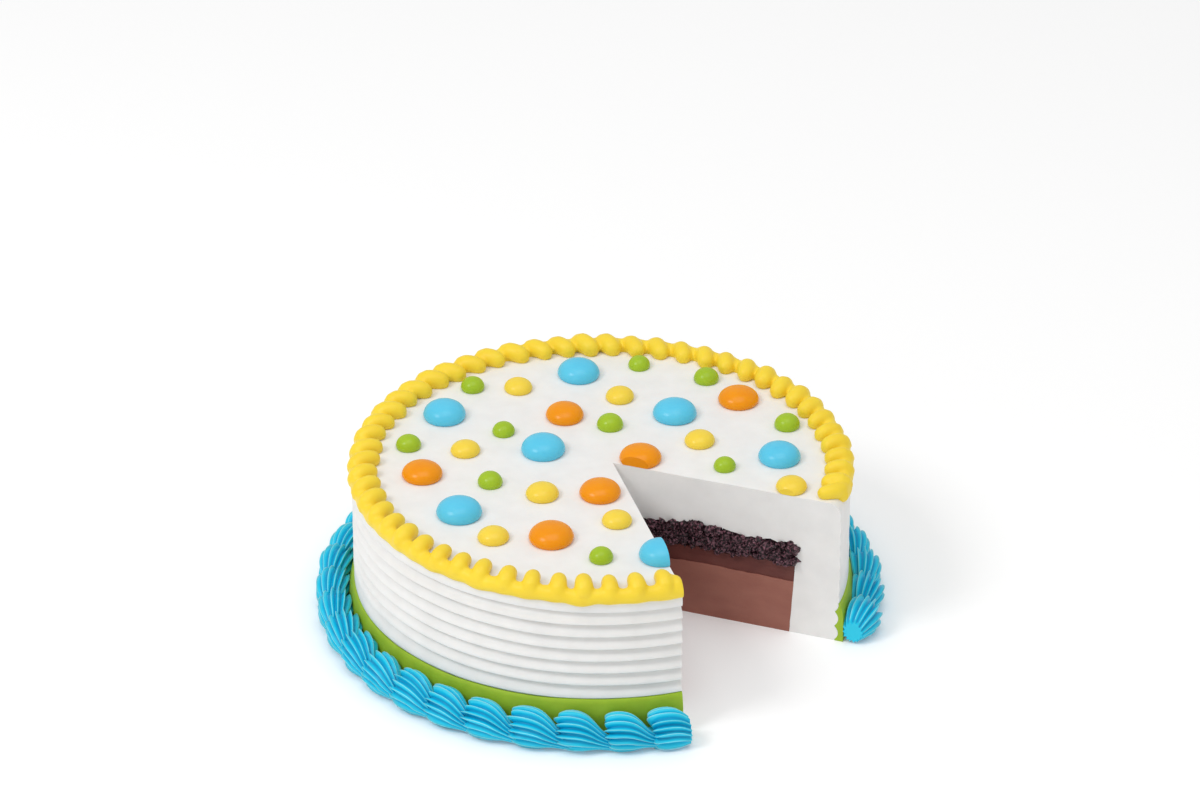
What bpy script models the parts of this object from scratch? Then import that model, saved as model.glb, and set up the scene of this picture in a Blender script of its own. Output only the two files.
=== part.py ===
"""Round ice cream cake, 203 mm across its combed wall, with one wedge served.

Chocolate ice cream, fudge and cookie crumbs show at the cut under a coat of white ice cream.
A zigzag border is piped on the rim and a shell border round the base, and icing dots lie on top.
The origin is the centre of the base, +Z up, and the served wedge is at the front right (+X, -Y).
"""

import math

import bmesh
import bpy
from mathutils import Vector

MM = 0.001

# Gap between two pieces that touch
GAP = 0.3

# The whole cake
CAKE_RADIUS = 101.6
CAKE_HEIGHT = 64.2
WALL_STEPS = 60

# The served wedge: its corner lies a little off the middle, and both cuts are upright
CUT_CORNER = (4.8, 1.8)
RIGHT_CUT_ANGLE = -20.2
LEFT_CUT_ANGLE = -74.6
CUT_REACH = 200.0

# Comb marks: the grooves run level round the wall, from the first one under the rim down
FIRST_GROOVE_Z = 56.1
GROOVE_PITCH = 5.6
GROOVE_COUNT = 7
GROOVE_DEPTH = 1.5
RIB_EDGE = 1.35
RIB_EDGE_DEPTH = 0.2

# The rounded top edge, as (radius inside the wall, depth below the top)
TOP_EDGE = ((0.3, 6.6), (0.3, 4.8), (1.2, 2.3), (3.0, 0.6), (5.6, 0.0))

# Green icing round the foot of the wall: it stands lower at the left, at LIP_LOW_ANGLE
GREEN_INNER = 99.9
GREEN_OUTER = 103.4
GREEN_TOP = 17.3
LIP_DROP = 2.6
LIP_LOW_ANGLE = 195.0

# Layers of the core, with how uneven each surface between them is
CORE_STEPS = 30
CORE_RADIUS_LOW = 80.5
CORE_RADIUS_HIGH = 83.0
CORE_RINGS = (0.0, 17.0, 34.0, 51.0, 67.0)
CHOCOLATE_TOP = 24.3
FUDGE_TOP = 31.8
CRUMB_TOP = 42.0
FUDGE_UNEVEN = 0.7
CRUMB_UNEVEN = 1.4

# Zigzag border on the rim
FINGERS_PER_TURN = 58
RIM_START_ANGLE = -32.0
RIM_END_ANGLE = 296.0
RIM_OUTER = 102.6
RIM_WAVE = 0.5
FINGER_TIP = 89.0
FINGER_GAP = 95.2
FINGER_HIGH = 6.8
FINGER_LOW = 3.6
FINGER_LEAN = 0.22
FINGER_UNEVEN = 0.6
FINGER_STATIONS = ((0.0, 0.0), (0.25, 0.8), (0.5, 1.0), (0.75, 0.8))

# Shell border round the base, piped both ways from the back
SHELLS_PER_TURN = 39
SHELLS_LEFT = 23
SHELLS_RIGHT = 14
SHELL_BACK_ANGLE = 90.0
SHELL_INNER = 103.8
SHELL_REACH = 13.6
SHELL_HEIGHT = 15.8
SHELL_GROOVE = 0.87
SHELL_TWIST = 0.26
SHELL_RIDGE_POINTS = 11
ARC_FROM = 150.0
ARC_TO = -45.0
SHELL_UNEVEN = 0.035
# Along one shell from its head: (share of its length, share of its height, share of its reach)
SHELL_STATIONS = ((0.0, 0.70, 0.66), (0.12, 0.93, 0.93), (0.34, 0.97, 1.0), (0.7, 0.88, 0.86))

# Icing dots on top, as (x, y, diameter) of each
BLUE_DOTS = (
    (-9.4, 74.5, 18.0),
    (-64.6, 39.6, 18.2),
    (-23.6, 11.1, 18.4),
    (30.4, 40.4, 18.4),
    (72.5, 5.1, 17.6),
    (-56.6, -39.0, 18.6),
    (23.4, -71.2, 18.4),
)
ORANGE_DOTS = (
    (-15.0, 39.4, 16.4),
    (57.0, 52.4, 17.2),
    (-72.3, -8.6, 16.8),
    (16.0, 4.3, 17.4),
    (-0.4, -23.3, 17.2),
    (-19.7, -57.8, 18.6),
)
YELLOW_DOTS = (
    (-34.5, 62.5, 12.2),
    (7.8, 55.0, 12.4),
    (40.3, 18.3, 13.0),
    (-55.3, 10.6, 12.4),
    (-23.6, -24.2, 13.8),
    (-42.6, -57.7, 13.0),
    (6.3, -45.1, 12.4),
    (76.6, -18.6, 13.0),
)
GREEN_DOTS = (
    (-53.5, 63.2, 10.2),
    (16.0, 81.8, 9.6),
    (44.0, 70.3, 10.8),
    (-40.0, 26.2, 9.6),
    (3.7, 31.4, 11.2),
    (-78.6, 14.7, 10.6),
    (76.5, 31.6, 11.0),
    (50.1, -2.2, 9.4),
    (-44.7, -14.9, 10.6),
    (0.0, -72.9, 10.0),
)
# Height of a dot over its diameter, and its outline as (share of radius, share of height)
DOT_RISE = {"blue": 0.29, "orange": 0.31, "yellow": 0.33, "green": 0.42}
DOT_OUTLINE = ((0.96, 0.0), (1.0, 0.3), (0.68, 0.86), (0.0, 1.0))
LARGE_DOT = 15.0
LARGE_DOT_STEPS = 10
SMALL_DOT_STEPS = 8

# Colour, roughness of each kind of food
FINISHES = {
    "white_cream": ((0.87, 0.87, 0.88), 0.5),
    "cookie_crumb": ((0.04, 0.018, 0.02), 0.85),
    "fudge": ((0.125, 0.037, 0.03), 0.4),
    "chocolate_cream": ((0.235, 0.095, 0.07), 0.55),
    "green_icing": ((0.28, 0.43, 0.055), 0.45),
    "yellow_icing": ((0.9, 0.66, 0.08), 0.4),
    "blue_icing": ((0.01, 0.32, 0.58), 0.4),
    "blue_dot_icing": ((0.14, 0.58, 0.77), 0.35),
    "orange_dot_icing": ((0.88, 0.31, 0.014), 0.35),
    "yellow_dot_icing": ((0.91, 0.66, 0.09), 0.35),
    "green_dot_icing": ((0.36, 0.5, 0.05), 0.35),
}


def clear_scene():
    for item in list(bpy.data.objects):
        bpy.data.objects.remove(item, do_unlink=True)


def make_material(name):
    """A plain finish, from its colour and roughness in FINISHES."""
    colour, roughness = FINISHES[name]
    material = bpy.data.materials.new(name)
    material.use_nodes = True
    shader = material.node_tree.nodes["Principled BSDF"]
    shader.inputs["Base Color"].default_value = (*colour, 1.0)
    shader.inputs["Roughness"].default_value = roughness
    shader.inputs["Metallic"].default_value = 0.0
    return material


def finish_piece(name, bm, material, smooth_angle=40.0):
    """Turns a bmesh in millimetres into a named object in metres, with its faces pointing out."""
    bmesh.ops.recalc_face_normals(bm, faces=bm.faces[:])
    bmesh.ops.scale(bm, vec=(MM, MM, MM), verts=bm.verts[:])
    mesh = bpy.data.meshes.new(name)
    bm.to_mesh(mesh)
    bm.free()
    mesh.shade_smooth()
    mesh.set_sharp_from_angle(angle=math.radians(smooth_angle))
    piece = bpy.data.objects.new(name, mesh)
    bpy.context.collection.objects.link(piece)
    if material is not None:
        mesh.materials.append(material)
    return piece


def cut_away(piece, cutter):
    """Takes the cutter's space out of a piece."""
    cut = piece.modifiers.new("cut by " + cutter.name, "BOOLEAN")
    cut.operation = "DIFFERENCE"
    cut.object = cutter


def turn_profile(profile, steps):
    """Spins (radius, height) points round the upright axis and closes the open ends with flat faces."""
    bm = bmesh.new()
    points = [bm.verts.new((radius, 0.0, height)) for radius, height in profile]
    edges = [bm.edges.new(pair) for pair in zip(points, points[1:])]
    bmesh.ops.spin(
        bm,
        geom=points + edges,
        cent=(0.0, 0.0, 0.0),
        axis=(0.0, 0.0, 1.0),
        angle=math.tau,
        steps=steps,
        use_merge=True,
    )
    bmesh.ops.remove_doubles(bm, verts=bm.verts[:], dist=0.001)
    open_edges = [edge for edge in bm.edges if edge.is_boundary]
    bmesh.ops.holes_fill(bm, edges=open_edges, sides=0)
    return bm


def skin_loops(loops):
    """Joins a row of equal loops of points with faces and closes both ends."""
    bm = bmesh.new()
    rings = [[bm.verts.new(point) for point in loop] for loop in loops]
    for near, far in zip(rings, rings[1:]):
        for i in range(len(near)):
            j = (i + 1) % len(near)
            bm.faces.new((near[i], near[j], far[j], far[i]))
    bm.faces.new(rings[0])
    bm.faces.new(rings[-1])
    return bm


def at_angle(radius, degrees, height):
    """The point at a radius, an angle round the cake from +X, and a height."""
    turn = math.radians(degrees)
    return Vector((radius * math.cos(turn), radius * math.sin(turn), height))


def lip_drop(x, y):
    """How far the green icing's top edge lies below its highest line, in this direction."""
    away = math.atan2(y, x) - math.radians(LIP_LOW_ANGLE)
    return LIP_DROP * (0.5 + 0.5 * math.cos(away)) ** 2


def make_wedge_cutter():
    """The space of the served wedge, as an upright prism."""
    corner = Vector((*CUT_CORNER, -20.0))
    bm = bmesh.new()
    points = [bm.verts.new(corner)]
    for angle in (RIGHT_CUT_ANGLE, LEFT_CUT_ANGLE):
        points.append(bm.verts.new(corner + at_angle(CUT_REACH, angle, 0.0)))
    base = bm.faces.new(points)
    sides = bmesh.ops.extrude_face_region(bm, geom=[base])
    top = [item for item in sides["geom"] if isinstance(item, bmesh.types.BMVert)]
    bmesh.ops.translate(bm, vec=(0.0, 0.0, CAKE_HEIGHT + 60.0), verts=top)
    cutter = finish_piece("wedge_cutter", bm, None)
    cutter.hide_render = True
    cutter.display_type = "WIRE"
    return cutter


def fudge_top(x, y):
    """Height of the uneven line between the fudge and the crumbs."""
    wave = math.sin(0.16 * x + 0.7) * math.cos(0.13 * y - 0.4) + 0.5 * math.sin(0.27 * x - 0.21 * y)
    return FUDGE_TOP + FUDGE_UNEVEN * wave


def crumb_top(x, y):
    """Height of the lumpy top of the crumbs."""
    wave = math.sin(0.19 * x + 0.10 * y + 0.9) + 0.6 * math.cos(0.23 * y - 0.12 * x)
    return CRUMB_TOP + 0.62 * CRUMB_UNEVEN * wave


def core_radius(height):
    """The core widens a little from its base to its top."""
    share = height / CRUMB_TOP
    return CORE_RADIUS_LOW + (CORE_RADIUS_HIGH - CORE_RADIUS_LOW) * share


def core_piece(name, material, low, high, low_shape=None, high_shape=None, grow=0.0):
    """A disc of the core between two heights, each either level or shaped by a function of x and y."""
    profile = [(radius, low) for radius in CORE_RINGS] if low_shape else []
    profile.append((core_radius(low) + grow, low))
    profile.append((core_radius(high) + grow, high))
    profile += [(radius, high) for radius in reversed(CORE_RINGS)] if high_shape else []
    bm = turn_profile(profile, CORE_STEPS)
    for vert in bm.verts:
        at_low = abs(vert.co.z - low) < 0.01
        shape = low_shape if at_low else high_shape
        if shape:
            vert.co.z = shape(vert.co.x, vert.co.y) + (GAP if at_low or grow else 0.0)
    # Two surfaces with one shape have to fold along the same lines, so that they never cross
    bmesh.ops.triangulate(bm, faces=bm.faces[:], quad_method="SHORT_EDGE")
    return finish_piece(name, bm, material)


def make_core(wedge):
    """The three layers that show at the cut, each a disc right through the cake."""
    chocolate = core_piece(
        "chocolate_ice_cream", make_material("chocolate_cream"), 0.0, CHOCOLATE_TOP
    )
    fudge = core_piece(
        "fudge_layer",
        make_material("fudge"),
        CHOCOLATE_TOP + GAP,
        FUDGE_TOP,
        high_shape=fudge_top,
    )
    crumbs = core_piece(
        "cookie_crumb_layer",
        make_material("cookie_crumb"),
        FUDGE_TOP + GAP,
        CRUMB_TOP,
        low_shape=fudge_top,
        high_shape=crumb_top,
    )
    for piece in (chocolate, fudge, crumbs):
        cut_away(piece, wedge)


def make_core_space():
    """The hollow in the white ice cream that the core fills, a gap larger all round."""
    space = core_piece("core_space", None, -5.0, CRUMB_TOP, high_shape=crumb_top, grow=GAP)
    space.hide_render = True
    space.display_type = "WIRE"
    return space


def wall_profile():
    """Outline of the white wall from the base up: a plain foot, combed ribs and the rounded edge."""
    foot = GREEN_INNER - GAP
    grooves = [FIRST_GROOVE_Z - GROOVE_PITCH * i for i in range(GROOVE_COUNT)]
    profile = [(foot, 0.0), (foot, GREEN_TOP + GAP)]
    lowest_rib = (GREEN_TOP + GAP + 0.8, grooves[-1] - RIB_EDGE)
    for height in lowest_rib:
        profile.append((CAKE_RADIUS - RIB_EDGE_DEPTH, height))
    for i, groove in enumerate(reversed(grooves)):
        profile.append((CAKE_RADIUS - GROOVE_DEPTH, groove))
        if i < GROOVE_COUNT - 1:
            for height in (groove + RIB_EDGE, groove + GROOVE_PITCH - RIB_EDGE):
                profile.append((CAKE_RADIUS - RIB_EDGE_DEPTH, height))
    for inset, below in TOP_EDGE:
        profile.append((CAKE_RADIUS - inset, CAKE_HEIGHT - below))
    return profile


def make_white_body(wedge):
    """The white ice cream over and round the core, with its wall combed level."""
    bm = turn_profile(wall_profile(), WALL_STEPS)
    lip = GREEN_TOP + GAP
    for vert in bm.verts:
        if lip - 0.01 < vert.co.z < lip + 0.81:
            vert.co.z -= lip_drop(vert.co.x, vert.co.y)
    body = finish_piece("white_ice_cream", bm, make_material("white_cream"), 30.0)
    cut_away(body, make_core_space())
    cut_away(body, wedge)


def make_green_band(wedge):
    """The band of green icing on the foot of the wall, with a rounded upper edge."""
    top = GREEN_TOP
    profile = [
        (GREEN_INNER, 0.0),
        (GREEN_INNER, top),
        (GREEN_OUTER - 1.7, top),
        (GREEN_OUTER - 0.4, top - 0.8),
        (GREEN_OUTER, top - 2.2),
        (GREEN_OUTER, 0.0),
        (GREEN_INNER, 0.0),
    ]
    bm = turn_profile(profile, WALL_STEPS)
    for vert in bm.verts:
        if vert.co.z > top - 3.0:
            vert.co.z -= lip_drop(vert.co.x, vert.co.y)
    cut_away(finish_piece("green_base_icing", bm, make_material("green_icing")), wedge)


def rim_section(angle, swell, longer):
    """One loop round the rim border: swell is 0 between two fingers and 1 along a finger."""
    tip = FINGER_GAP + (FINGER_TIP - longer - FINGER_GAP) * swell
    high = FINGER_LOW + (FINGER_HIGH - FINGER_LOW) * swell
    outer = RIM_OUTER + RIM_WAVE * (swell - 0.5)
    top = CAKE_HEIGHT
    section = (
        (tip + 0.5, top + GAP),
        (97.9, top + GAP),
        (101.2, top - 2.0),
        (outer, top - 0.8 - 0.6 * swell),
        (outer - 1.1, top + 0.62 * high),
        (0.5 * (tip + outer) + 0.6, top + high),
        (tip, top + 0.5 * high),
    )
    return [at_angle(radius, angle - FINGER_LEAN * (outer - radius), z) for radius, z in section]


def uneven(number):
    """A value from -1 to 1 that differs from one piped shape to the next, as hand piping does."""
    return 0.6 * math.sin(2.4 * number) + 0.4 * math.sin(5.3 * number + 1.0)


def make_rim_border(wedge):
    """The yellow zigzag on the rim: rounded fingers that lean, joined along their outer side."""
    pitch = 360.0 / FINGERS_PER_TURN
    count = int((RIM_END_ANGLE - RIM_START_ANGLE) / pitch)
    loops = []
    for i in range(count):
        longer = FINGER_UNEVEN * uneven(i)
        for share, swell in FINGER_STATIONS:
            loops.append(rim_section(RIM_START_ANGLE + (i + share) * pitch, swell, longer))
    border = finish_piece("yellow_rim_border", skin_loops(loops), make_material("yellow_icing"), 60.0)
    cut_away(border, wedge)


def shell_section(angle, high, reach):
    """One loop round the shell border: a ridged arc over a flat base and a flat back."""
    width = SHELL_REACH * reach
    height = SHELL_HEIGHT * high
    section = [(SHELL_INNER, 0.0)]
    for i in range(SHELL_RIDGE_POINTS):
        turn = math.radians(ARC_FROM + (ARC_TO - ARC_FROM) * i / (SHELL_RIDGE_POINTS - 1))
        depth = 1.0 if i % 2 == 0 else SHELL_GROOVE
        radius = SHELL_INNER + width * (0.44 + 0.56 * depth * math.cos(turn))
        z = height * (0.44 + 0.56 * depth * math.sin(turn))
        section.append((max(radius, SHELL_INNER), max(z, 0.5)))
    section.append((section[-1][0] - 0.6, 0.0))
    return [at_angle(radius, angle + SHELL_TWIST * (radius - SHELL_INNER), z) for radius, z in section]


def shell_run(count, way):
    """Angle, height and reach along a row of shells piped from the back, one way round."""
    pitch = 360.0 / SHELLS_PER_TURN
    stations = []
    for i in range(count):
        size = 1.0 + SHELL_UNEVEN * uneven(i) * min(i, 1)
        for share, high, reach in SHELL_STATIONS:
            stations.append((SHELL_BACK_ANGLE + way * (i + share) * pitch, high * size, reach * size))
    return stations


def make_shell_border(wedge):
    """The blue border: each shell has a swollen head that covers the thin tail of the one before."""
    right_run = shell_run(SHELLS_RIGHT, -1)
    left_run = shell_run(SHELLS_LEFT, 1)
    stations = right_run[:0:-1] + left_run
    loops = [shell_section(*station) for station in stations]
    border = finish_piece("blue_shell_border", skin_loops(loops), make_material("blue_icing"), 50.0)
    cut_away(border, wedge)


def reaches_cut(x, y, radius):
    """Whether a round thing at x, y crosses one of the two cuts."""
    place = Vector((x - CUT_CORNER[0], y - CUT_CORNER[1], 0.0))
    for angle in (RIGHT_CUT_ANGLE, LEFT_CUT_ANGLE):
        along = at_angle(1.0, angle, 0.0)
        if place.dot(along) > -radius and abs(along.cross(place).z) < radius:
            return True
    return False


def make_dots(colour, dots, wedge):
    """Low domes of icing, each with a flat base on the top of the cake."""
    material = make_material(colour + "_dot_icing")
    for number, (x, y, diameter) in enumerate(dots, 1):
        radius = diameter / 2
        height = DOT_RISE[colour] * diameter
        steps = LARGE_DOT_STEPS if diameter > LARGE_DOT else SMALL_DOT_STEPS
        bm = turn_profile([(radius * r, height * z) for r, z in DOT_OUTLINE], steps)
        bmesh.ops.translate(bm, vec=(x, y, CAKE_HEIGHT + GAP), verts=bm.verts[:])
        dot = finish_piece(f"{colour}_dot_{number}", bm, material, 60.0)
        if reaches_cut(x, y, radius):
            cut_away(dot, wedge)


def main():
    clear_scene()
    wedge = make_wedge_cutter()
    make_core(wedge)
    make_white_body(wedge)
    make_green_band(wedge)
    make_rim_border(wedge)
    make_shell_border(wedge)
    make_dots("blue", BLUE_DOTS, wedge)
    make_dots("orange", ORANGE_DOTS, wedge)
    make_dots("yellow", YELLOW_DOTS, wedge)
    make_dots("green", GREEN_DOTS, wedge)


main()
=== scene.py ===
# %% [markdown]
# # A round ice cream cake with one wedge served
#
# The real thing is built from the inside out: a core of chocolate ice cream, fudge and cookie
# crumbs, a thick white coat whose wall is combed into level ribs, a band of green icing on its foot,
# a shell border piped round the base, a zigzag piped on the rim, and dots of icing on top.
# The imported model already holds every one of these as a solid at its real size. This file dresses
# each of them, in the same places, with the fine surface that the plain solid leaves out.

# %% Load the frame
import math
import random

import bmesh
import bpy
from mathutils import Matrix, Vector, noise


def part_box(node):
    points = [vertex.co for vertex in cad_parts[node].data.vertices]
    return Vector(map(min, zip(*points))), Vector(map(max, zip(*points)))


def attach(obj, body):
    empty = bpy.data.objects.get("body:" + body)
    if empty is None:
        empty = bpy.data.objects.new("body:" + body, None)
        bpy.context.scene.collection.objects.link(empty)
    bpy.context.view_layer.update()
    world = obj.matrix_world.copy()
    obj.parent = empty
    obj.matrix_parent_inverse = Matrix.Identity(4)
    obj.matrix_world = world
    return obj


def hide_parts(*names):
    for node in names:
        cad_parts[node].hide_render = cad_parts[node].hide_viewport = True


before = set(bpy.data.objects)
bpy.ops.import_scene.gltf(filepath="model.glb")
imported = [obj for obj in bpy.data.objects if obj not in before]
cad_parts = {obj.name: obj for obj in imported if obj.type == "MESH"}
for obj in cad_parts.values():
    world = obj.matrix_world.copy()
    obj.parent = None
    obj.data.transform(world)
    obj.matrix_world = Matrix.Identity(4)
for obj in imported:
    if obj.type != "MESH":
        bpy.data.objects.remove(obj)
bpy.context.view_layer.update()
MM = 0.001

# %% [markdown]
# ## Driving sizes
#
# The frame gives most sizes by itself: a node's box says how tall and how wide it is. What a box
# can't say is where the two knife cuts run, so their corner and their two directions are named here,
# in millimetres and degrees. Everything else in the file is measured from these.

# %% Sizes read from the frame, in millimetres
_, WHITE_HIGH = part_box("white_ice_cream")
CAKE_TOP = WHITE_HIGH.z / MM
CAKE_RADIUS = WHITE_HIGH.y / MM
CUT_CORNER = Vector((4.8, 1.8, 0.0))
RIGHT_CUT = -20.2
LEFT_CUT = -74.6
FULL_TURN = 360.0
print("wall radius", round(CAKE_RADIUS, 1), "top", round(CAKE_TOP, 1))


def around(radius, degrees, height):
    """The point at a radius, at an angle round the cake from +X, and at a height."""
    turn = math.radians(degrees)
    return Vector((radius * math.cos(turn), radius * math.sin(turn), height))


# %% [markdown]
# ## The camera
#
# The photograph looks down on the cake from about thirty degrees with a long lens, so the circles
# turn into even ovals. The camera stands where those ovals say, and the lens is long.

# %% Camera
LENS_MM = 147.6
LOOK_DOWN = 29.63
camera_data = bpy.data.cameras.new("camera")
camera_data.lens = LENS_MM
camera_data.sensor_width = 36.0
camera_data.clip_end = 20.0
camera = bpy.data.objects.new("camera", camera_data)
camera.location = (-0.00045, -1.722, 1.074)
camera.rotation_euler = (math.radians(90.0 - LOOK_DOWN), 0.0, 0.0)
bpy.context.collection.objects.link(camera)
bpy.context.scene.camera = camera
print("camera", round(camera.location.length, 2), "m from the base of the cake")

# %% [markdown]
# ## Light
#
# White food on white needs soft light that is stronger from one side, or its ribs vanish. A wide
# lamp hangs overhead, a smaller one stands high at the left and draws a shade under each rib, and a
# weak one at the front left softens that shade. A pale sky fills the rest. The plain display
# transform keeps white icing white and bright icing bright.

# %% Sky and lamps
SKY_STRENGTH = 0.56
LAMP_AIM = Vector((0.0, 0.0, 0.03))
bpy.context.scene.view_settings.view_transform = "Standard"
sky = bpy.data.worlds.new("sky")
sky.use_nodes = True
sky.node_tree.nodes["Background"].inputs["Color"].default_value = (1.0, 1.0, 1.0, 1.0)
sky.node_tree.nodes["Background"].inputs["Strength"].default_value = SKY_STRENGTH
bpy.context.scene.world = sky


def soft_lamp(name, place, size, power):
    """A square lamp at a place in metres, turned towards the foot of the cake."""
    data = bpy.data.lights.new(name, "AREA")
    data.shape = "SQUARE"
    data.size = size
    data.energy = power
    lamp = bpy.data.objects.new(name, data)
    lamp.location = place
    lamp.rotation_euler = (LAMP_AIM - Vector(place)).to_track_quat("-Z", "Y").to_euler()
    bpy.context.collection.objects.link(lamp)


soft_lamp("top_lamp", (0.1, -0.35, 2.3), size=1.6, power=14.5)
soft_lamp("key_lamp", (-1.13, -0.65, 1.53), size=0.6, power=10.5)
soft_lamp("fill_lamp", (-0.9, -1.7, 0.7), size=0.9, power=1.2)
print("lamps", len(bpy.data.lights))

# %% [markdown]
# ## Floor
#
# A pale floor sends light back under the piped borders. It is a single large square, made by the
# grid operator.

# %% Floor
FLOOR_HALF = 6.0
floor_bm = bmesh.new()
bmesh.ops.create_grid(floor_bm, x_segments=1, y_segments=1, size=FLOOR_HALF)
floor_mesh = bpy.data.meshes.new("floor")
floor_bm.to_mesh(floor_mesh)
floor_bm.free()
floor = bpy.data.objects.new("floor", floor_mesh)
bpy.context.collection.objects.link(floor)
print("floor", 2 * FLOOR_HALF, "m wide")

# %% [markdown]
# ## Finishes
#
# Every finish starts as one soft, slightly waxy shader: icing and ice cream let a little light in
# and have a wide, weak shine. Colours are written as the values that a screen shows and turned into
# the linear values that the shader needs. Small clouds of a second colour and a fine bump keep each
# surface from looking like plastic. They read Object coordinates, so they stay with the piece.

# %% A soft shader
WAXY_IOR = 1.35
LIGHT_REACH = (1.0, 0.8, 0.7)


def screen_colour(red, green, blue):
    """A colour given as 0 to 255 on screen, as the shader's linear values."""
    linear = []
    for value in (red, green, blue):
        share = value / 255.0
        linear.append(share / 12.92 if share <= 0.04045 else ((share + 0.055) / 1.055) ** 2.4)
    return (*linear, 1.0)


def new_finish(name, roughness, translucent, depth_mm):
    """A soft shader, its tree, and the Object coordinates that its patterns read."""
    material = bpy.data.materials.new(name)
    material.use_nodes = True
    tree = material.node_tree
    shader = tree.nodes["Principled BSDF"]
    shader.inputs["Roughness"].default_value = roughness
    shader.inputs["IOR"].default_value = WAXY_IOR
    shader.inputs["Subsurface Weight"].default_value = translucent
    shader.inputs["Subsurface Radius"].default_value = LIGHT_REACH
    shader.inputs["Subsurface Scale"].default_value = depth_mm * MM
    place = tree.nodes.new("ShaderNodeTexCoord").outputs["Object"]
    return material, tree, shader, place


print("middle grey as the shader's value:", round(screen_colour(128, 128, 128)[0], 3))


# %% Clouds, blends and relief
def add_noise(tree, place, size_mm, detail=3.0, stretch=(1.0, 1.0, 1.0)):
    """A cloud pattern whose blobs are about size_mm across, stretched along the axes."""
    mapping = tree.nodes.new("ShaderNodeMapping")
    mapping.inputs["Scale"].default_value = [1.0 / value for value in stretch]
    cloud = tree.nodes.new("ShaderNodeTexNoise")
    cloud.inputs["Scale"].default_value = 1.0 / (size_mm * MM)
    cloud.inputs["Detail"].default_value = detail
    tree.links.new(place, mapping.inputs["Vector"])
    tree.links.new(mapping.outputs["Vector"], cloud.inputs["Vector"])
    return cloud.outputs["Fac"]


def add_blend(tree, share, low, high, low_colour, high_colour):
    """A colour that runs from one to another as share goes from low to high."""
    ramp = tree.nodes.new("ShaderNodeValToRGB")
    ramp.color_ramp.elements[0].position = low
    ramp.color_ramp.elements[0].color = screen_colour(*low_colour)
    ramp.color_ramp.elements[1].position = high
    ramp.color_ramp.elements[1].color = screen_colour(*high_colour)
    tree.links.new(share, ramp.inputs["Fac"])
    return ramp.outputs["Color"]


def add_bump(tree, shader, height, depth_mm, strength, below=None):
    """Fine relief from a pattern, on top of any relief that is there already."""
    bump = tree.nodes.new("ShaderNodeBump")
    bump.inputs["Strength"].default_value = strength
    bump.inputs["Distance"].default_value = depth_mm * MM
    tree.links.new(height, bump.inputs["Height"])
    if below is not None:
        tree.links.new(below, bump.inputs["Normal"])
    tree.links.new(bump.outputs["Normal"], shader.inputs["Normal"])
    return bump.outputs["Normal"]


print("pattern helpers: add_noise, add_blend, add_bump")

# %% [markdown]
# ### Smooth icings
#
# Icing that was spread or dropped has one colour, with the faintest clouds in it. The dots set with
# a smooth skin, so they are shinier than the coat, the band and the zigzag. All of them are one
# recipe with different values, so a table lists the values and one function makes each finish.

# %% Plain icings
# Each icing: (colour, its shade, roughness, width of its clouds and of its relief in millimetres)
PLAIN_ICINGS = {
    "white_cream": ((242, 241, 239), (236, 235, 233), 0.5, 9.0, 3.0),
    "green_icing": ((163, 194, 50), (151, 184, 44), 0.5, 7.0, 2.5),
    "yellow_icing": ((250, 219, 62), (246, 212, 56), 0.4, 8.0, 2.5),
    "blue_dot_icing": ((96, 204, 236), (90, 200, 234), 0.27, 6.0, 3.0),
    "orange_dot_icing": ((246, 154, 2), (242, 148, 2), 0.27, 6.0, 3.0),
    "yellow_dot_icing": ((248, 217, 74), (245, 212, 68), 0.27, 6.0, 3.0),
    "green_dot_icing": ((166, 198, 44), (160, 192, 40), 0.27, 6.0, 3.0),
}


def icing_finish(name, colour, shade, roughness, cloud_mm, relief_mm):
    """Smooth icing: two near colours in soft clouds, over a faint hand-worked relief."""
    material, tree, shader, place = new_finish(name, roughness, translucent=0.12, depth_mm=1.2)
    clouds = add_noise(tree, place, cloud_mm)
    mixed = add_blend(tree, clouds, 0.3, 0.7, shade, colour)
    tree.links.new(mixed, shader.inputs["Base Color"])
    relief = add_noise(tree, place, relief_mm, detail=4.0)
    add_bump(tree, shader, relief, depth_mm=0.12, strength=0.5)
    return material


FINISHES = {name: icing_finish(name, *values) for name, values in PLAIN_ICINGS.items()}
print("plain icings:", len(FINISHES))

# %% [markdown]
# ### Blue piping
#
# A star nozzle leaves thin sharp crests between hollow flutes. On the real border the crests catch
# the light as pale lines and the flutes lie in shade. Each shell's mesh stores how near a point is to
# a crest in an attribute named crest, 0 in the middle of a flute and 1 on a crest, and the finish
# paints that light and shade into the colour: painted shade in the middle of each flute and a
# painted highlight along each crest.

# %% Blue piping finish
# Painted shade in the middle of a flute to a painted highlight on a crest: (value of crest, colour)
FLUTE_SHADE_TO_HIGHLIGHT = (
    (0.1, (0, 148, 200)),
    (0.5, (0, 196, 232)),
    (0.86, (56, 214, 241)),
    (1.0, (166, 240, 251)),
)
painted_flute_shade, *between, painted_crest_highlight = FLUTE_SHADE_TO_HIGHLIGHT
blue, blue_tree, blue_shader, blue_place = new_finish("blue_icing", 0.36, translucent=0.1, depth_mm=0.8)
crest = blue_tree.nodes.new("ShaderNodeAttribute")
crest.attribute_name = "crest"
# The crest value picks the colour: painted shade in the flutes, painted highlight on the crests
crest_colour = add_blend(blue_tree, crest.outputs["Fac"], painted_flute_shade[0], painted_crest_highlight[0], painted_flute_shade[1], painted_crest_highlight[1])
for value, tone in between:
    crest_colour.node.color_ramp.elements.new(value).color = screen_colour(*tone)
blue_tree.links.new(crest_colour, blue_shader.inputs["Base Color"])
blue_grain = add_noise(blue_tree, blue_place, 1.2, detail=4.0)
add_bump(blue_tree, blue_shader, blue_grain, depth_mm=0.1, strength=0.4)
FINISHES["blue_icing"] = blue
print("blue piping has", len(crest_colour.node.color_ramp.elements), "tones")
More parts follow.
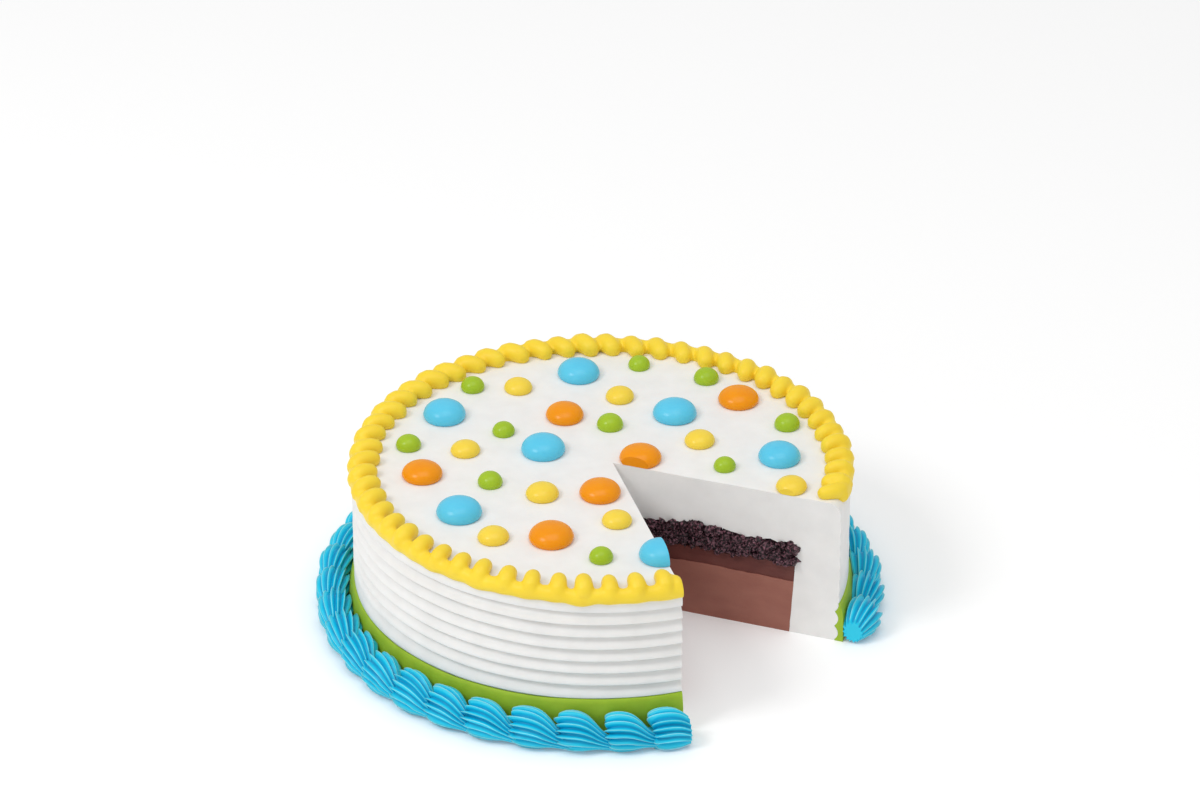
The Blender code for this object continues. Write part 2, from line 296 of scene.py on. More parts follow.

# %% [markdown]
# ### Cut chocolate, fudge and crumbs
#
# A knife drags frozen cream along the cut, so its finest marks run level: the noise is stretched
# along the floor's plane and left short upright. Fudge is darker and a little shinier. Crumbs are
# nearly black, with small pale specks that are painted highlight, standing in for glints, and enough
# shine to catch the light on their corners.


# %% Core finishes
def cut_finish(name, colour, shade, roughness, depth_mm):
    """Food cut with a knife: level drag marks and small pores over soft clouds."""
    material, tree, shader, place = new_finish(name, roughness, translucent=0.15, depth_mm=1.5)
    clouds = add_noise(tree, place, 7.0, detail=4.0, stretch=(2.0, 2.0, 1.0))
    mixed = add_blend(tree, clouds, 0.32, 0.68, shade, colour)
    tree.links.new(mixed, shader.inputs["Base Color"])
    drag = add_noise(tree, place, 1.4, detail=5.0, stretch=(6.0, 6.0, 1.0))
    under = add_bump(tree, shader, drag, depth_mm, strength=0.7)
    pores = add_noise(tree, place, 0.8, detail=2.0)
    add_bump(tree, shader, pores, depth_mm=0.08, strength=0.6, below=under)
    return material


FINISHES["chocolate_cream"] = cut_finish("chocolate_cream", (161, 105, 91), (152, 97, 84), 0.5, 0.15)
FINISHES["fudge"] = cut_finish("fudge", (114, 64, 57), (96, 49, 45), 0.4, 0.2)

crumb, crumb_tree, crumb_shader, crumb_place = new_finish("cookie_crumb", 0.32, 0.0, 1.0)
# Nearly black crumb colour with small pale specks of painted highlight, as glints
painted_glint_specks = add_noise(crumb_tree, crumb_place, 0.9, detail=3.0)
crumb_colour_and_glints = add_blend(crumb_tree, painted_glint_specks, 0.46, 0.76, (24, 7, 15), (152, 104, 118))
crumb_tree.links.new(crumb_colour_and_glints, crumb_shader.inputs["Base Color"])
crumb_pits = add_noise(crumb_tree, crumb_place, 0.5, detail=4.0)
add_bump(crumb_tree, crumb_shader, crumb_pits, depth_mm=0.3, strength=0.9)
FINISHES["cookie_crumb"] = crumb
print("finishes:", sorted(FINISHES))

# %% [markdown]
# ### Floor
#
# The floor glows a very little, like the top of a light table, so it comes out nearly white without
# more lamps, and the cake still throws a soft shadow on it.

# %% Floor finish
FLOOR_GLOW = 0.1
floor_finish, _, floor_shader, _ = new_finish("floor", 0.6, 0.0, 1.0)
floor_shader.inputs["Base Color"].default_value = (0.97, 0.97, 0.97, 1.0)
floor_shader.inputs["Emission Color"].default_value = (1.0, 1.0, 1.0, 1.0)
floor_shader.inputs["Emission Strength"].default_value = FLOOR_GLOW
floor.data.materials.append(floor_finish)
print("floor finish made")

# %% [markdown]
# ## Making a piece
#
# Every piece is modelled in millimetres, because the cake's sizes are easy to read that way, and
# scaled to metres when it becomes an object. Its object stays at the origin. Each piece rides on
# the one body and stands for its solid. A cut is a Boolean modifier that is applied at once. The
# knife leaves flat faces, which are found by the planes of the cutter and shaded flat.

# %% Helpers for pieces
FEW_FACES = 10
SAME_WAY = 0.9999
SAME_PLANE = 2e-5


def as_object(name, bm, finish=None, smooth_angle=60.0):
    """Turns a bmesh in millimetres into an object in metres."""
    bmesh.ops.scale(bm, vec=(MM, MM, MM), verts=bm.verts[:])
    mesh = bpy.data.meshes.new(name)
    bm.to_mesh(mesh)
    bm.free()
    mesh.shade_smooth()
    mesh.set_sharp_from_angle(angle=math.radians(smooth_angle))
    piece = bpy.data.objects.new(name, mesh)
    bpy.context.collection.objects.link(piece)
    if finish:
        mesh.materials.append(FINISHES[finish])
    return piece


def apply_modifiers(piece):
    """Keeps the mesh that the piece's modifiers make, and drops the modifiers."""
    graph = bpy.context.evaluated_depsgraph_get()
    mesh = bpy.data.meshes.new_from_object(piece.evaluated_get(graph))
    piece.modifiers.clear()
    piece.data = mesh


def take_away(piece, cutter):
    """Takes the space of a cutter out of a piece for good. The faces that a knife left are flat."""
    cut = piece.modifiers.new("cut", "BOOLEAN")
    cut.operation = "DIFFERENCE"
    cut.object = cutter
    apply_modifiers(piece)
    planes = [(face.normal.copy(), face.center.copy()) for face in cutter.data.polygons]
    if len(planes) >= FEW_FACES:
        return
    for face in piece.data.polygons:
        for normal, spot in planes:
            apart = abs((face.center - spot).dot(normal))
            if abs(face.normal.dot(normal)) > SAME_WAY and apart < SAME_PLANE:
                face.use_smooth = False


def place_piece(piece, slot, *nodes):
    """Fixes a finished piece to the cake in place of its solids."""
    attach(piece, "root")
    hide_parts(*nodes)
    faces = len(piece.data.polygons)
    print(piece.name, "has", faces, "faces and stands for", len(nodes), "solid(s)")


def remove_object(piece):
    """Deletes a helper that is no longer needed."""
    bpy.data.objects.remove(piece, do_unlink=True)


# %% [markdown]
# ## The knife cuts
#
# The served wedge is taken out of nearly every piece, so its space is made once, as a tall prism:
# three points make a triangle, and extruding it upwards makes the prism. Two slightly larger ones
# made later take the fudge and the crumbs a little further back than the firm ice cream round them.

# %% The space of the wedge
WEDGE_REACH = 220.0
WEDGE_BELOW = 20.0
WEDGE_TALL = 130.0


def wedge_space(name, grow):
    """The wedge as an upright prism whose two cut faces are moved back by grow millimetres."""
    half = math.radians((RIGHT_CUT - LEFT_CUT) / 2)
    middle = (RIGHT_CUT + LEFT_CUT) / 2
    corner = CUT_CORNER - around(grow / math.sin(half), middle, WEDGE_BELOW)
    left_end = corner + around(WEDGE_REACH, LEFT_CUT, 0.0)
    right_end = corner + around(WEDGE_REACH, RIGHT_CUT, 0.0)
    bm = bmesh.new()
    base = bm.faces.new([bm.verts.new(point) for point in (corner, left_end, right_end)])
    raised = bmesh.ops.extrude_face_region(bm, geom=[base])["geom"]
    top = [item for item in raised if isinstance(item, bmesh.types.BMVert)]
    bmesh.ops.translate(bm, vec=(0.0, 0.0, WEDGE_TALL), verts=top)
    bmesh.ops.recalc_face_normals(bm, faces=bm.faces[:])
    space = as_object(name, bm)
    space.hide_render = True
    return space


wedge = wedge_space("wedge_space", 0.0)
print("wedge of", round(RIGHT_CUT - LEFT_CUT, 1), "degrees")

# %% [markdown]
# ## Turned shapes
#
# The coat, the layers, the green band and the dots are all turned shapes: an outline on one side of
# the upright axis, spun once round. The spin joins up with itself, and the ends that are left open
# on the axis are merged there. Spinning can leave a mesh inside out, so its normals are worked out
# afresh.

# %% Spin an outline
MERGE_WITHIN = 0.001


def turned(outline, steps):
    """Spins an outline of (radius, height) points round the upright axis into a closed shape."""
    bm = bmesh.new()
    points = [bm.verts.new((radius, 0.0, height)) for radius, height in outline]
    edges = [bm.edges.new(pair) for pair in zip(points, points[1:])]
    bmesh.ops.spin(
        bm, geom=points + edges, cent=(0.0, 0.0, 0.0), axis=(0.0, 0.0, 1.0),
        angle=math.tau, steps=steps, use_merge=True,
    )
    bmesh.ops.remove_doubles(bm, verts=bm.verts[:], dist=MERGE_WITHIN)
    bmesh.ops.recalc_face_normals(bm, faces=bm.faces[:])
    return bm


def spread(low, high, step):
    """Evenly spaced values from low to high, at most a step apart."""
    count = max(1, math.ceil(abs(high - low) / step))
    return [low + (high - low) * i / count for i in range(count + 1)]


print("spread gives", spread(0.0, 1.0, 0.3))

# %% [markdown]
# ## The core
#
# The surfaces between the layers are not level. One function of x and y gives the height of each,
# and both neighbours use it, so they meet without a gap. The crumbs' top is the lumpiest. Sines make
# the long waves that the solids have too, and noise adds the small unevenness.

# %% Heights of the layers
CHOCOLATE_TOP = 24.4
FUDGE_TOP = 31.9
CRUMB_TOP = 42.2
CORE_LOW = 80.5
CORE_HIGH = 83.0


def core_radius(x, y, height):
    """The core widens upwards, and its side is a little ragged where the layers were packed."""
    ragged = 0.35 * noise.noise(Vector((x, y, height * 2.0)) * 0.25)
    return CORE_LOW + (CORE_HIGH - CORE_LOW) * height / CRUMB_TOP + ragged


def chocolate_top(x, y):
    """Where the chocolate ends and the fudge begins."""
    slow = noise.noise(Vector((x, y, 3.0)) * 0.06)
    return CHOCOLATE_TOP + 0.9 * slow + 0.5 * noise.noise(Vector((x, y, 9.0)) * 0.25)


def fudge_top(x, y):
    """Where the fudge ends and the crumbs begin."""
    wave = math.sin(0.16 * x + 0.7) * math.cos(0.13 * y - 0.4) + 0.5 * math.sin(0.27 * x - 0.21 * y)
    return FUDGE_TOP + 0.7 * wave + 0.7 * noise.noise(Vector((x, y, 0.0)) * 0.3)


def crumb_top(x, y):
    """Where the crumbs end and the white coat begins."""
    wave = math.sin(0.19 * x + 0.10 * y + 0.9) + 0.6 * math.cos(0.23 * y - 0.12 * x)
    return CRUMB_TOP + 0.87 * wave + 1.1 * noise.noise(Vector((x, y, 5.0)) * 0.28)


def level(height):
    """A surface with the same height everywhere."""
    return lambda x, y: height


for surface in (chocolate_top, fudge_top, crumb_top):
    print(surface.__name__, "at the cut's corner:", round(surface(CUT_CORNER.x, CUT_CORNER.y), 1), "mm")

# %% [markdown]
# A layer is spun as a plain outline first, in which a height is only a mark that says which surface
# a point belongs to. Then each point goes to the real height of that surface at its own place.

# %% A layer of the core
CORE_STEPS = 180
RING_STEP = 1.6
LAST_RING = 78.0
SIDE_RING = 80.0
LOWER_MARK = -2.0
UPPER_MARK = 1.0


def layer(low, high, grow=0.0):
    """A disc of the core between two uneven surfaces, as a bmesh. Marks from -1 to 0 are its side."""
    rings = spread(0.0, LAST_RING, RING_STEP)
    sides = spread(0.0, 1.0, 0.12)
    outline = [(radius, LOWER_MARK) for radius in rings]
    outline += [(SIDE_RING, share - 1.0) for share in sides]
    outline += [(radius, UPPER_MARK) for radius in reversed(rings)]
    bm = turned(outline, CORE_STEPS)
    for vert in bm.verts:
        x, y, mark = vert.co
        if mark < -1.5:
            vert.co.z = low(x, y)
        elif mark > 0.5:
            vert.co.z = high(x, y)
        else:
            z = low(x, y) + (high(x, y) - low(x, y)) * (mark + 1.0)
            wide = (core_radius(x, y, z) + grow) / math.hypot(x, y)
            vert.co = (x * wide, y * wide, z)
    bmesh.ops.recalc_face_normals(bm, faces=bm.faces[:])
    return bm


print("rings on each surface of a layer:", len(spread(0.0, LAST_RING, RING_STEP)))

# %% [markdown]
# The chocolate is cut clean. The fudge above it gave way a little under the knife, so its face lies
# a third of a millimetre back, and the step catches the light along the join, as on the real one.

# %% Chocolate and fudge
fudge_cut = wedge_space("fudge_cut", 0.35)
chocolate_bm = layer(level(0.0), chocolate_top)
chocolate = as_object("chocolate_ice_cream_core", chocolate_bm, "chocolate_cream", 30.0)
take_away(chocolate, wedge)
place_piece(chocolate, "chocolate_cream", "chocolate_ice_cream")

fudge = as_object("fudge_core", layer(chocolate_top, fudge_top), "fudge", 30.0)
take_away(fudge, fudge_cut)
place_piece(fudge, "fudge", "fudge_layer")

# %% [markdown]
# ## Cookie crumbs
#
# The crumb layer is a rough dark slab, set back from the cut, with real crumbs scattered over both
# its cut faces. A crumb is a small ball with its points pushed in and out by noise. Small crumbs
# outnumber large ones, so a random share is raised to a power before it becomes a size.

# %% Crumb slab and one crumb
crumb_cut = wedge_space("crumb_cut", 1.3)
slab = as_object("crumb_slab", layer(fudge_top, crumb_top), "cookie_crumb", 30.0)
take_away(slab, crumb_cut)
CRUMB_DENT = 0.7
CRUMB_LUMPS = 1.8


def add_crumb(bm, place, radius, draw):
    """Adds one crumb to a bmesh: a ball of few faces, dented by noise, stretched at random."""
    ball = bmesh.new()
    made = bmesh.ops.create_icosphere(ball, subdivisions=2, radius=radius)["verts"]
    shift = Vector([draw.uniform(0.0, 50.0) for _ in range(3)])
    for vert in made:
        vert.co *= 1.0 + CRUMB_DENT * noise.noise(vert.co / radius * CRUMB_LUMPS + shift)
    stretch = Vector([draw.uniform(0.8, 1.2) for _ in range(3)])
    bmesh.ops.scale(ball, vec=stretch, verts=made)
    bmesh.ops.translate(ball, vec=place, verts=made)
    shape = bpy.data.meshes.new("crumb")
    ball.to_mesh(shape)
    ball.free()
    bm.from_mesh(shape)
    bpy.data.meshes.remove(shape)


print("slab has", len(slab.data.polygons), "faces")

# %% [markdown]
# Random draws are seeded, so every run scatters the crumbs alike. Each one is built by itself and
# then added, and in the end all of them become one mesh with the slab.

# %% Scatter the crumbs over both cuts
CRUMB_COUNT = 800
CRUMB_SMALL = 0.5
CRUMB_LARGE = 2.3
CRUMB_BIAS = 1.9
CRUMB_REACH = 82.0


def scatter_crumbs(bm, cut_angle, inward, draw):
    """Crumbs over one cut face. inward points from the face into the cake."""
    along = around(1.0, cut_angle, 0.0)
    reach = 0.0
    while (CUT_CORNER + along * reach).length < CRUMB_REACH:
        reach += 0.5
    for _ in range(CRUMB_COUNT):
        radius = CRUMB_SMALL + (CRUMB_LARGE - CRUMB_SMALL) * draw.random() ** CRUMB_BIAS
        spot = CUT_CORNER + along * draw.uniform(0.0, reach)
        low = fudge_top(spot.x, spot.y) + 0.3 * radius
        high = crumb_top(spot.x, spot.y) - 0.2 * radius
        spot.z = draw.uniform(low, high)
        depth = draw.uniform(-0.5, 1.2)
        add_crumb(bm, spot + inward * depth, radius, draw)


def join_into(main, others):
    """Joins other objects' meshes into one object."""
    bm = bmesh.new()
    bm.from_mesh(main.data)
    for other in others:
        bm.from_mesh(other.data)
        remove_object(other)
    bm.to_mesh(main.data)
    bm.free()
    return main


crumb_bm = bmesh.new()
crumb_draw = random.Random(7)
scatter_crumbs(crumb_bm, RIGHT_CUT, around(1.0, RIGHT_CUT + 90.0, 0.0), crumb_draw)
scatter_crumbs(crumb_bm, LEFT_CUT, around(1.0, LEFT_CUT - 90.0, 0.0), crumb_draw)
loose = as_object("loose_crumbs", crumb_bm, "cookie_crumb", 18.0)
crumbs = join_into(slab, [loose])
crumbs.name = "cookie_crumbs"
place_piece(crumbs, "cookie_crumb", "cookie_crumb_layer")

# %% [markdown]
# ## The white coat
#
# A toothed comb was drawn round the wall, so it has eight ribs with narrow grooves between them. The
# comb leaned a little, so a rib is not even: it springs out just above its lower groove, stays full
# for a short way, and then falls back in a long hollow up to the next groove, like lapped boards.
# The outline climbs the wall rib by rib in that way, and a spin carries it round.

# %% Ribs of the wall
GROOVES = [56.1 - 5.6 * i for i in range(7)] + [17.6]
GROOVE_DEPTH = 2.6
LIP = 17.6
CORNER = 5.2
EDGE_INSET = 0.3
# Shares of a rib's height: its foot, the start of its hollow, and how far the hollow goes up
RIB_FOOT = 0.14
RIB_FULL = 0.22
RIB_HOLLOW = 0.74


def rib_dip(share):
    """How far the wall lies back at a share of a rib's height, from one groove to the next."""
    under = max(0.0, 1.0 - share / RIB_FOOT)
    hollow = min(max((share - RIB_FULL) / RIB_HOLLOW, 0.0), 1.0)
    return GROOVE_DEPTH * max(under ** 2, hollow ** 1.7)


def rib_outline(low, high):
    """Points up one rib, closest together near its two grooves."""
    shares = (0.0, 0.04, 0.09, 0.16, 0.27, 0.4, 0.52, 0.64, 0.75, 0.85, 0.93)
    return [(CAKE_RADIUS - rib_dip(share), low + (high - low) * share) for share in shares]


print("ribs", len(GROOVES), "pitch", round(GROOVES[0] - GROOVES[1], 1), "depth", GROOVE_DEPTH)


# %% Outline of the coat
def foot_radius(height):
    """The combed wall behind the green band, whose ribs show only at the cuts."""
    return 99.6 + 1.7 * abs(math.sin(math.pi * (height - 0.3) / 6.7)) ** 0.8


def coat_outline():
    """From the middle of the underside, up the wall and over its rounded edge to the middle of the top."""
    outline = [(0.0, 0.0)] + [(radius, 0.0) for radius in spread(70.0, foot_radius(0.0), 4.0)]
    outline += [(foot_radius(height), height) for height in spread(0.5, LIP - 0.8, 0.5)]
    climbing = GROOVES[::-1]
    for low, high in zip(climbing, climbing[1:]):
        outline += rib_outline(low, high)
    outline.append((CAKE_RADIUS - GROOVE_DEPTH, climbing[-1]))
    outline += [(CAKE_RADIUS - 0.5, climbing[-1] + 0.7), (CAKE_RADIUS - EDGE_INSET, climbing[-1] + 1.8)]
    for degrees in spread(0.0, 90.0, 10.0):
        turn = math.radians(degrees)
        outline.append((
            CAKE_RADIUS - EDGE_INSET - CORNER * (1.0 - math.cos(turn)),
            CAKE_TOP - CORNER * (1.0 - math.sin(turn)),
        ))
    outline += [(radius, CAKE_TOP) for radius in spread(94.0, 0.0, 4.0)]
    return outline


print("points in the outline:", len(coat_outline()))

# %% [markdown]
# Nothing on the real wall is quite level or quite round. Slow waves lift and lower the ribs, as an
# unsteady hand does, the foot of the wall sinks at the left, and the comb was lifted towards the
# right cut, where the ribs fade out.

# %% The unsteady hand
LOWEST_SIDE = 195.0
LOWEST_DROP = 2.6
LIFT_START = 16.0
LIFT_LENGTH = 24.0
LAST_GROOVE = GROOVES[-2]


def lip_drop(x, y):
    """How far the foot's upper edge lies below its highest line: it is lowest at the left."""
    away = math.atan2(y, x) - math.radians(LOWEST_SIDE)
    return LOWEST_DROP * (0.5 + 0.5 * math.cos(away)) ** 2


def comb_depth(degrees):
    """How deep the comb went in, as a share: least beside the right cut, most at the front."""
    from_right = (degrees - RIGHT_CUT) % FULL_TURN
    lifted = min(max((from_right - LIFT_START) / LIFT_LENGTH, 0.0), 1.0)
    front = 0.5 - 0.5 * math.sin(math.radians(degrees))
    return (0.1 + 0.9 * lifted * lifted * (3.0 - 2.0 * lifted)) * (0.85 + 0.25 * front)


def unsettle_wall(vert):
    """Moves one point of the wall to where an unsteady comb would have left it."""
    x, y, z = vert.co
    radius = math.hypot(x, y)
    turn = math.atan2(y, x)
    if LIP < z < GROOVES[0]:
        radius += (CAKE_RADIUS - radius) * (1.0 - comb_depth(math.degrees(turn)))
        vert.co.x = radius * math.cos(turn)
        vert.co.y = radius * math.sin(turn)
    wave = noise.noise(Vector((2.2 * math.cos(turn), 2.2 * math.sin(turn), 0.05 * z)))
    if z < CAKE_TOP - CORNER:
        vert.co.z += 0.35 * wave
    if z <= LIP:
        vert.co.z -= lip_drop(x, y) * z / LIP
    elif z < LAST_GROOVE:
        vert.co.z -= lip_drop(x, y) * (LAST_GROOVE - z) / (LAST_GROOVE - LIP)
    swell = 1.0 + 0.25 * noise.noise(Vector((x, y, 3.0 * z)) * 0.035) / radius
    vert.co.x *= swell
    vert.co.y *= swell


print("comb's depth at the front:", round(comb_depth(-90.0), 2))
print("comb's depth beside the right cut:", round(comb_depth(RIGHT_CUT), 2))

# %% [markdown]
# The coat is spun, its points are moved, and then the core's room and the wedge are taken out of it.
# The core's room reaches below the floor and is a hair wider than the core, so no two faces share
# one place.

# %% Spin the coat, unsettle it and cut it
COAT_STEPS = 288
WALL_BEGINS = 90.0
coat_bm = turned(coat_outline(), COAT_STEPS)
for vert in coat_bm.verts:
    x, y, z = vert.co
    if z > 0.5 and math.hypot(x, y) > WALL_BEGINS:
        unsettle_wall(vert)
    elif z > CAKE_TOP - 1.0:
        vert.co.z += 0.16 * noise.noise(Vector((x, y, 0.0)) * 0.045) - 0.1
coat = as_object("white_coat", coat_bm, "white_cream", 35.0)
core_space = as_object("core_space", layer(level(-5.0), crumb_top, grow=0.02))
take_away(coat, core_space)
take_away(coat, wedge)
place_piece(coat, "white_cream", "white_ice_cream")

# %% [markdown]
# ## The green band
#
# Icing was smeared over the foot of the combed wall, so at the cut its inner side follows the ribs
# under it, and its outer side is smooth with a thin rolled edge on top.

# %% Green band
BAND_OUTER = 103.4
BAND_TOP = 17.5
BAND_STEPS = 240
# The rolled edge, from its inner side outwards: (inwards from the outer side, height over the top)
BAND_EDGE = ((2.5, 0.5), (2.0, 0.45), (1.6, 0.1), (1.1, -1.2), (0.5, -3.4), (0.1, -6.0))


def band_outline():
    """Up the inner side, over the rolled edge, down the outer side and back along the floor."""
    inner = [(foot_radius(height) - 0.03, height) for height in spread(0.0, BAND_TOP - 0.2, 0.5)]
    outer = [(BAND_OUTER - inwards, BAND_TOP + rise) for inwards, rise in BAND_EDGE]
    outer += [(BAND_OUTER, height) for height in spread(BAND_TOP - 8.0, 0.0, 2.5)]
    return inner + outer + [inner[0]]


band_bm = turned(band_outline(), BAND_STEPS)
for vert in band_bm.verts:
    x, y, z = vert.co
    if z > 1.0:
        vert.co.z -= lip_drop(x, y) * z / BAND_TOP
        vert.co.z += 0.25 * noise.noise(Vector((x, y, 0.0)) * 0.06) * z / BAND_TOP
band = as_object("green_band", band_bm, "green_icing", 50.0)
take_away(band, wedge)
place_piece(band, "green_icing", "green_base_icing")

# %% [markdown]
# ## Sweeping a loop along a path
#
# Both piped borders are sweeps: a loop of points is pushed along, changing shape as it goes. The
# loop starts as a circle, and every further step extrudes its edges and puts the new points in
# their places. A whole number stored on each point says which place of the loop it holds, and an
# extrusion copies it along.


# %% Sweep helper
def sweep(bm, rings):
    """Adds a closed skin over a row of equal loops of points to a bmesh. Returns its points."""
    place = bm.verts.layers.int.get("place") or bm.verts.layers.int.new("place")
    first = bmesh.ops.create_circle(bm, cap_ends=False, segments=len(rings[0]), radius=1.0)["verts"]
    for i, vert in enumerate(first):
        vert[place] = i
        vert.co = rings[0][i]
    edges = list(dict.fromkeys(edge for vert in first for edge in vert.link_edges))
    made = list(first)
    first_edges = edges
    for ring in rings[1:]:
        new = bmesh.ops.extrude_edge_only(bm, edges=edges)["geom"]
        verts = [item for item in new if isinstance(item, bmesh.types.BMVert)]
        for vert in verts:
            vert.co = ring[vert[place]]
        chosen = set(verts)
        edges = [item for item in new if isinstance(item, bmesh.types.BMEdge)
                 and item.verts[0] in chosen and item.verts[1] in chosen]
        made += verts
    bmesh.ops.holes_fill(bm, edges=first_edges + edges, sides=0)
    return made


print("sweep helper ready")

# %% [markdown]
# ### Round tubes
#
# A round nozzle makes a tube. Its loops are circles that stand square to the path, each with its own
# size, and a smaller circle before the first and after the last closes the tube with a round end.

# %% Tubes
TUBE_SIDES = 16
END_REACH = 0.6
END_SIZE = 0.45


def tube_rings(path, thick):
    """Circles of points round a path, each square to the path's direction there."""
    rings = []
    for i, centre in enumerate(path):
        ahead = path[min(i + 1, len(path) - 1)] - path[max(i - 1, 0)]
        turn = ahead.to_track_quat("Z", "Y").to_matrix()
        ring = []
        for j in range(TUBE_SIDES):
            angle = math.tau * j / TUBE_SIDES
            ring.append(centre + turn @ Vector((math.cos(angle), math.sin(angle), 0.0)) * thick[i])
        rings.append(ring)
    return rings


def pipe(bm, path, thick):
    """Adds a tube with round ends to a bmesh. thick holds half its thickness at each point."""
    start = path[0] + (path[0] - path[1]).normalized() * thick[0] * END_REACH
    end = path[-1] + (path[-1] - path[-2]).normalized() * thick[-1] * END_REACH
    sizes = [thick[0] * END_SIZE, *thick, thick[-1] * END_SIZE]
    sweep(bm, tube_rings([start, *path, end], sizes))


print("sides of a tube:", TUBE_SIDES)

# %% [markdown]
# ## The yellow zigzag on the rim
#
# A round nozzle went back and forth over the rim: each stroke starts as a fat lobe on the outer
# side, rises, and ends as a rounded finger on the top. Here each stroke is one short tube, and all
# of them stand at an even pitch between the two cuts.

# %% One stroke over the rim
FIRST_STROKE = RIGHT_CUT + 9.8
LAST_STROKE = LEFT_CUT + FULL_TURN - 1.0
STROKES = 49
FINGER_PITCH = (LAST_STROKE - FIRST_STROKE) / (STROKES - 1)
# Along one stroke: (radius on the cake, lean from -1 to 1, height over the top, half thickness)
STROKE = (
    (99.7, 1.10, -0.4, 3.0),
    (99.8, 0.95, 1.0, 3.3),
    (99.2, 0.75, 2.3, 3.5),
    (97.9, 0.40, 3.1, 3.6),
    (96.3, 0.00, 3.3, 3.5),
    (94.8, -0.40, 3.2, 3.4),
    (93.4, -0.75, 2.7, 3.2),
    (92.6, -0.90, 1.9, 2.9),
)


def at_back(degrees):
    """1 at the back of the cake, 0 at the front. The strokes are fatter and lean more at the back."""
    return 0.5 + 0.5 * math.sin(math.radians(degrees))


def stroke_path(angle, draw):
    """The middle line and the half thicknesses of one stroke over the rim."""
    fat = (1.0 + 0.16 * at_back(angle)) * draw.uniform(0.93, 1.07)
    lean = 0.02 + 0.26 * at_back(angle - 25.0) + draw.uniform(-0.02, 0.02)
    tip = draw.uniform(-0.8, 0.4)
    high = draw.uniform(-0.9, -0.4)
    path = []
    thick = []
    for i, (radius, along, height, half) in enumerate(STROKE):
        share = i / (len(STROKE) - 1)
        turn = angle + along * lean * FINGER_PITCH
        path.append(around(radius + tip * share, turn, CAKE_TOP + height + high))
        thick.append(half * fat)
    return path, thick


print("strokes", STROKES, "pitch in degrees", round(FINGER_PITCH, 2))

# %% [markdown]
# Along the wall the strokes run together into one rope, which sags a little at the front and stands
# higher at the back. The last stroke before the left cut was dragged low, so it makes a shoulder
# beside the knife, and beside the right cut the border ends with one small finger that curls in.

# %% All strokes, the rope and both ends
ROPE_RADIUS = 99.5
ROPE_THICK = 3.3
# Along each end: (radius on the cake, degrees after its start, height over the top, half thickness)
SHOULDER = (
    (99.4, 3.2, 0.0, 3.2),
    (98.6, 3.0, 1.0, 3.3),
    (97.0, 2.6, 1.5, 3.2),
    (95.6, 2.2, 1.5, 2.8),
)
END_FINGER = (
    (99.2, 8.8, 0.8, 3.4),
    (98.6, 7.2, 1.5, 3.4),
    (97.0, 5.9, 2.0, 3.3),
    (95.0, 5.0, 2.1, 3.2),
    (93.2, 4.4, 1.9, 3.0),
    (92.0, 4.1, 1.6, 2.7),
)


def pipe_end(bm, start, form):
    """Adds one end of the border, given as a table of its points from a start angle on."""
    path = [around(radius, start + turn, CAKE_TOP + height) for radius, turn, height, half in form]
    pipe(bm, path, [half for radius, turn, height, half in form])


zigzag_bm = bmesh.new()
zigzag_draw = random.Random(11)
for i in range(STROKES):
    angle = FIRST_STROKE + FINGER_PITCH * (i + zigzag_draw.uniform(-0.05, 0.05))
    pipe(zigzag_bm, *stroke_path(angle, zigzag_draw))
pipe_end(zigzag_bm, LAST_STROKE, SHOULDER)

rope = []
rope_thick = []
for degrees in spread(RIGHT_CUT + 6.2, LEFT_CUT + FULL_TURN + 6.0, 1.0):
    wave = noise.noise(Vector((degrees * 0.13, 0.0, 0.0)))
    back = at_back(degrees)
    sag = 0.7 + 1.6 * max(wave, 0.0) * (1.0 - back)
    rope.append(around(ROPE_RADIUS - 1.2 * back + 0.25 * wave, degrees, CAKE_TOP - sag + 1.3 * back))
    rope_thick.append(ROPE_THICK + 0.4 * back + 0.2 * math.sin(math.tau * degrees / FINGER_PITCH))
pipe(zigzag_bm, rope, rope_thick)
pipe_end(zigzag_bm, RIGHT_CUT, END_FINGER)
bmesh.ops.recalc_face_normals(zigzag_bm, faces=zigzag_bm.faces[:])
zigzag = as_object("yellow_zigzag", zigzag_bm, "yellow_icing", 80.0)
print("zigzag has", len(zigzag.data.polygons), "faces before it is melted")

# %% [markdown]
# The tubes still pass through each other. A voxel remesh melts them into one skin, and a few rounds
# of smoothing leave soft creases between the strokes, just as in the icing. It is cut after that, so
# the knife's faces stay sharp.

# %% Melt the strokes together
MELT_MM = 0.62
melt = zigzag.modifiers.new("melt", "REMESH")
melt.mode = "VOXEL"
melt.voxel_size = MELT_MM * MM
melt.use_smooth_shade = True
settle = zigzag.modifiers.new("settle", "SMOOTH")
settle.factor = 0.5
settle.iterations = 5
apply_modifiers(zigzag)
take_away(zigzag, wedge)
place_piece(zigzag, "yellow_icing", "yellow_rim_border")

# %% [markdown]
# ## The blue shell border
#
# Each shell begins as a swollen head, pushed against the wall, and is drawn out into a tail that
# the next head covers. So a shell is a teardrop on its side. A short table gives its form from head
# to tail, and a smooth curve through the table's rows gives the many loops that a sweep needs.

# %% Form of a shell
SHELL_STEPS = 26
